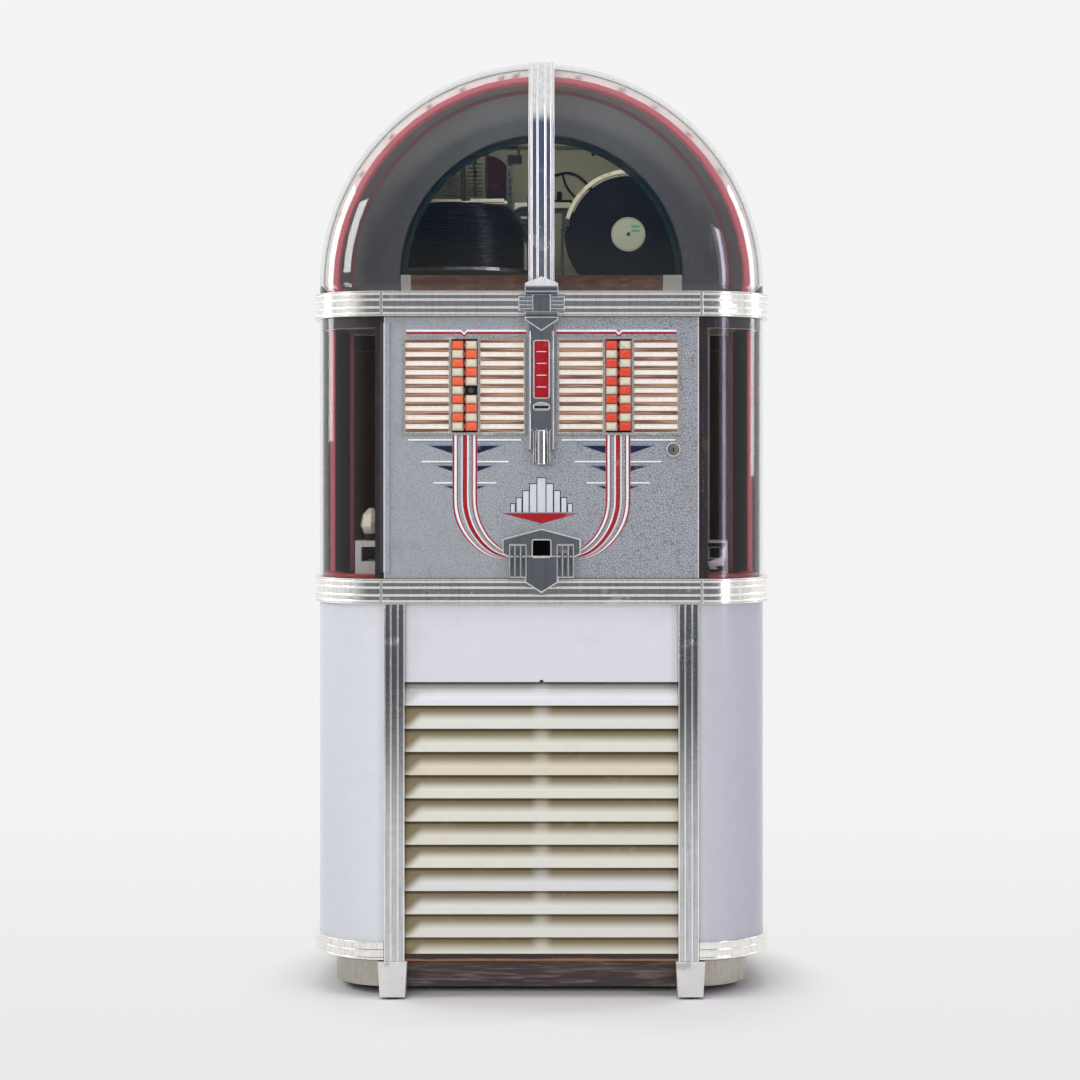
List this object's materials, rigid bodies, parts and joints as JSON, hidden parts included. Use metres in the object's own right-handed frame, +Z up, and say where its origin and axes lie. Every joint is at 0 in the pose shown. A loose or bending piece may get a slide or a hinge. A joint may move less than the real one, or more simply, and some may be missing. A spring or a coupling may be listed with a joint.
{
  "type": "jukebox",
  "caption": "Floor-standing jukebox with a clear domed lid over a record changer, a hinged selection door with keys, milky lower panels and a louvred speaker front.",
  "frame": {"origin": "on the floor, under the middle of the box that holds the whole object", "axes": "+Z up; the front with the selection door faces -Y; +X to the right of someone facing the front"},
  "size_m": [0.818, 0.6934, 1.6654],
  "materials": {
    "cabinet_wood": "dark stained plywood",
    "nickel": "worn nickel plate",
    "cast_aluminium": "satin casting",
    "milky_plastic": "milky light-diffusing plastic",
    "clear_plastic": "clear moulded plastic",
    "chrome": "polished, lightly worn",
    "ivory_plastic": "aged ivory plastic",
    "cone_paper": "black paper cone and stamped basket",
    "steel": "plated steel",
    "machine_enamel": "grey enamelled casting",
    "record_shellac": "black record",
    "cream_enamel": "cream enamel",
    "hood_paint": "grey paint",
    "dark_paint": "dark grey semi-matt paint",
    "red_plastic": "translucent red plastic",
    "crackle_paint": "silver crackle paint",
    "key_plastic": "moulded red and ivory key caps"
  },
  "bodies": {
    "cabinet": {"cabinet_carcase": "cabinet_wood", "base_skirt": "nickel", "front_foot_left": "cast_aluminium", "front_foot_right": "cast_aluminium", "corner_panel_left": "milky_plastic", "corner_panel_right": "milky_plastic", "side_window_left": "clear_plastic", "side_window_right": "clear_plastic", "bottom_band_left": "chrome", "bottom_band_right": "chrome", "lower_band": "chrome", "pilaster_left": "chrome", "pilaster_right": "chrome", "upper_light_panel": "milky_plastic", "louvre_grille": "ivory_plastic", "rear_cover": "cabinet_wood", "speaker": "cone_paper", "amplifier": "steel", "mechanism_bed": "machine_enamel", "drive_motor": "steel", "magazine_rack": "steel", "record_stack": "record_shellac"},
    "lid": {"lid_hood": "hood_paint", "lid_band": "chrome", "dome_left": "clear_plastic", "dome_right": "clear_plastic", "center_strip": "chrome", "arch_panel": "dark_paint", "arch_light_strip": "red_plastic"},
    "door": {"door_panel": "crackle_paint", "title_rack_left": "chrome", "title_rack_right": "chrome", "coin_column": "chrome", "payout_cup": "chrome"},
    "gripper": {"gripper_bow": "cream_enamel", "held_record": "record_shellac"},
    "turntable": {"turntable": "steel"},
    "tonearm": {"tonearm": "cream_enamel"},
    "coin_return_lever": {"coin_return_lever": "chrome"},
    "door_lock": {"door_lock": "nickel"},
    "key_left_01": {"key_left_01": "key_plastic"},
    "key_left_02": {"key_left_02": "key_plastic"},
    "key_left_03": {"key_left_03": "key_plastic"},
    "key_left_04": {"key_left_04": "key_plastic"},
    "key_left_05": {"key_left_05": "key_plastic"},
    "key_left_06": {"key_left_06": "key_plastic"},
    "key_left_07": {"key_left_07": "key_plastic"},
    "key_left_08": {"key_left_08": "key_plastic"},
    "key_left_09": {"key_left_09": "key_plastic"},
    "key_left_10": {"key_left_10": "key_plastic"},
    "key_right_01": {"key_right_01": "key_plastic"},
    "key_right_02": {"key_right_02": "key_plastic"},
    "key_right_03": {"key_right_03": "key_plastic"},
    "key_right_04": {"key_right_04": "key_plastic"},
    "key_right_05": {"key_right_05": "key_plastic"},
    "key_right_06": {"key_right_06": "key_plastic"},
    "key_right_07": {"key_right_07": "key_plastic"},
    "key_right_08": {"key_right_08": "key_plastic"},
    "key_right_09": {"key_right_09": "key_plastic"},
    "key_right_10": {"key_right_10": "key_plastic"}
  },
  "joints": [
    {"name": "lid_hinge", "type": "hinge", "parent": "cabinet", "child": "lid", "pos_m": [0, 0.34065, 1.19765], "axis": [-1, 0, 0], "range_deg": [0, 60]},
    {"name": "door_hinge", "type": "hinge", "parent": "cabinet", "child": "door", "pos_m": [-0.28, -0.32845, 0.96775], "axis": [0, 0, -1], "range_deg": [0, 110]},
    {"name": "lock_turn", "type": "hinge", "parent": "door", "child": "door_lock", "pos_m": [0.2313, -0.32565, 0.9643], "axis": [0, -1, 0], "range_deg": [0, 90]},
    {"name": "coin_return_pivot", "type": "hinge", "parent": "door", "child": "coin_return_lever", "pos_m": [0, -0.33865, 0.9949], "axis": [1, 0, 0], "range_deg": [0, 7.5], "stiffness_Nm_per_rad": 0.3},
    {"name": "gripper_swing", "type": "hinge", "parent": "cabinet", "child": "gripper", "pos_m": [0.03326, 0.12935, 1.255], "axis": [1, 0, 0], "range_deg": [0, 90]},
    {"name": "turntable_spin", "type": "hinge", "parent": "cabinet", "child": "turntable", "pos_m": [0.17, -0.00065, 1.215], "axis": [0, 0, 1], "continuous": true},
    {"name": "tonearm_swing", "type": "hinge", "parent": "cabinet", "child": "tonearm", "pos_m": [0.318, 0.13935, 1.272], "axis": [0, 0, -1], "range_deg": [0, 28]},
    {"name": "key_left_01_press", "type": "slide", "parent": "door", "child": "key_left_01", "axis": [0, 1, 0], "range_m": [0, 0.004], "stiffness_N_per_m": 200},
    {"name": "key_left_02_press", "type": "slide", "parent": "door", "child": "key_left_02", "axis": [0, 1, 0], "range_m": [0, 0.004], "stiffness_N_per_m": 200},
    {"name": "key_left_03_press", "type": "slide", "parent": "door", "child": "key_left_03", "axis": [0, 1, 0], "range_m": [0, 0.004], "stiffness_N_per_m": 200},
    {"name": "key_left_04_press", "type": "slide", "parent": "door", "child": "key_left_04", "axis": [0, 1, 0], "range_m": [0, 0.004], "stiffness_N_per_m": 200},
    {"name": "key_left_05_press", "type": "slide", "parent": "door", "child": "key_left_05", "axis": [0, 1, 0], "range_m": [0, 0.004], "stiffness_N_per_m": 200},
    {"name": "key_left_06_press", "type": "slide", "parent": "door", "child": "key_left_06", "axis": [0, 1, 0], "range_m": [0, 0.004], "stiffness_N_per_m": 200},
    {"name": "key_left_07_press", "type": "slide", "parent": "door", "child": "key_left_07", "axis": [0, 1, 0], "range_m": [0, 0.004], "stiffness_N_per_m": 200},
    {"name": "key_left_08_press", "type": "slide", "parent": "door", "child": "key_left_08", "axis": [0, 1, 0], "range_m": [0, 0.004], "stiffness_N_per_m": 200},
    {"name": "key_left_09_press", "type": "slide", "parent": "door", "child": "key_left_09", "axis": [0, 1, 0], "range_m": [0, 0.004], "stiffness_N_per_m": 200},
    {"name": "key_left_10_press", "type": "slide", "parent": "door", "child": "key_left_10", "axis": [0, 1, 0], "range_m": [0, 0.004], "stiffness_N_per_m": 200},
    {"name": "key_right_01_press", "type": "slide", "parent": "door", "child": "key_right_01", "axis": [0, 1, 0], "range_m": [0, 0.004], "stiffness_N_per_m": 200},
    {"name": "key_right_02_press", "type": "slide", "parent": "door", "child": "key_right_02", "axis": [0, 1, 0], "range_m": [0, 0.004], "stiffness_N_per_m": 200},
    {"name": "key_right_03_press", "type": "slide", "parent": "door", "child": "key_right_03", "axis": [0, 1, 0], "range_m": [0, 0.004], "stiffness_N_per_m": 200},
    {"name": "key_right_04_press", "type": "slide", "parent": "door", "child": "key_right_04", "axis": [0, 1, 0], "range_m": [0, 0.004], "stiffness_N_per_m": 200},
    {"name": "key_right_05_press", "type": "slide", "parent": "door", "child": "key_right_05", "axis": [0, 1, 0], "range_m": [0, 0.004], "stiffness_N_per_m": 200},
    {"name": "key_right_06_press", "type": "slide", "parent": "door", "child": "key_right_06", "axis": [0, 1, 0], "range_m": [0, 0.004], "stiffness_N_per_m": 200},
    {"name": "key_right_07_press", "type": "slide", "parent": "door", "child": "key_right_07", "axis": [0, 1, 0], "range_m": [0, 0.004], "stiffness_N_per_m": 200},
    {"name": "key_right_08_press", "type": "slide", "parent": "door", "child": "key_right_08", "axis": [0, 1, 0], "range_m": [0, 0.004], "stiffness_N_per_m": 200},
    {"name": "key_right_09_press", "type": "slide", "parent": "door", "child": "key_right_09", "axis": [0, 1, 0], "range_m": [0, 0.004], "stiffness_N_per_m": 200},
    {"name": "key_right_10_press", "type": "slide", "parent": "door", "child": "key_right_10", "axis": [0, 1, 0], "range_m": [0, 0.004], "stiffness_N_per_m": 200}
  ]
}
